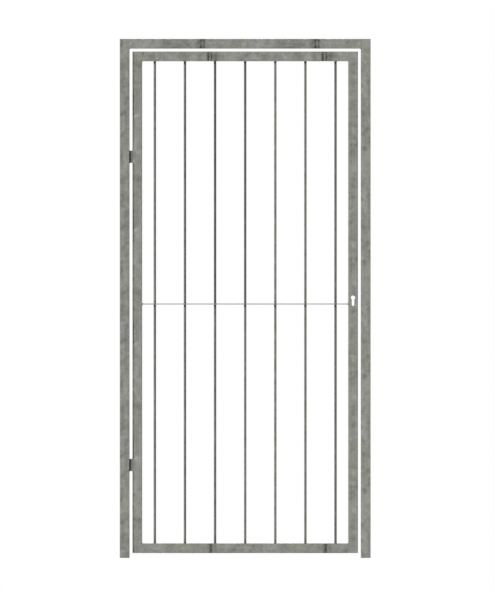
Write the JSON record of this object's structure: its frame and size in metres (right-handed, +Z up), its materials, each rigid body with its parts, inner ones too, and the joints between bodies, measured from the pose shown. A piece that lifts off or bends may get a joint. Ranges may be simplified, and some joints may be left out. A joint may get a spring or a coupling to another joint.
{
  "type": "barred pedestrian gate",
  "caption": "Galvanised steel pedestrian gate: a box-section frame of posts and head rail, with one hinged leaf of round vertical bars and a flat cross bar.",
  "frame": {"origin": "centre of the hinge post's foot, at floor level", "axes": "+X along the gate from the hinge post to the latch post, +Z up, -Y is the front, and the leaf opens towards +Y"},
  "size_m": [1.03, 0.056, 2.132],
  "materials": {
    "box_section": "matt mottled galvanised zinc",
    "round_bar": "matt mottled galvanised zinc, a little darker",
    "flat_bar": "matt galvanised zinc",
    "hinge_steel": "dull dark zinc",
    "pin_steel": "bright turned steel",
    "washer_brass": "dull brass",
    "lock_steel": "zinc-plated sheet"
  },
  "bodies": {
    "frame": {"hinge_post": "box_section", "latch_post": "box_section", "head_rail": "box_section", "hinge_post_cap": "box_section", "latch_post_cap": "box_section", "upper_hinge_post_half": "hinge_steel", "upper_hinge_pin": "pin_steel", "upper_hinge_washer": "washer_brass", "lower_hinge_post_half": "hinge_steel", "lower_hinge_pin": "pin_steel", "lower_hinge_washer": "washer_brass"},
    "leaf": {"hinge_stile": "box_section", "lock_stile": "box_section", "leaf_top_rail": "box_section", "leaf_bottom_rail": "box_section", "cross_bar": "flat_bar", "infill_bar_1": "round_bar", "infill_bar_2": "round_bar", "infill_bar_3": "round_bar", "infill_bar_4": "round_bar", "infill_bar_5": "round_bar", "infill_bar_6": "round_bar", "infill_bar_7": "round_bar", "hinge_stile_top_cap": "box_section", "hinge_stile_bottom_cap": "box_section", "lock_stile_top_cap": "box_section", "lock_stile_bottom_cap": "box_section", "upper_hinge_leaf_half": "hinge_steel", "lower_hinge_leaf_half": "hinge_steel", "lock_case": "lock_steel", "lock_forend": "lock_steel", "deadbolt": "lock_steel"}
  },
  "joints": [
    {"name": "leaf_hinge", "type": "hinge", "parent": "frame", "child": "leaf", "pos_m": [0.026, 0.029, 0.382], "axis": [0, 0, 1], "range_deg": [0, 180]}
  ]
}
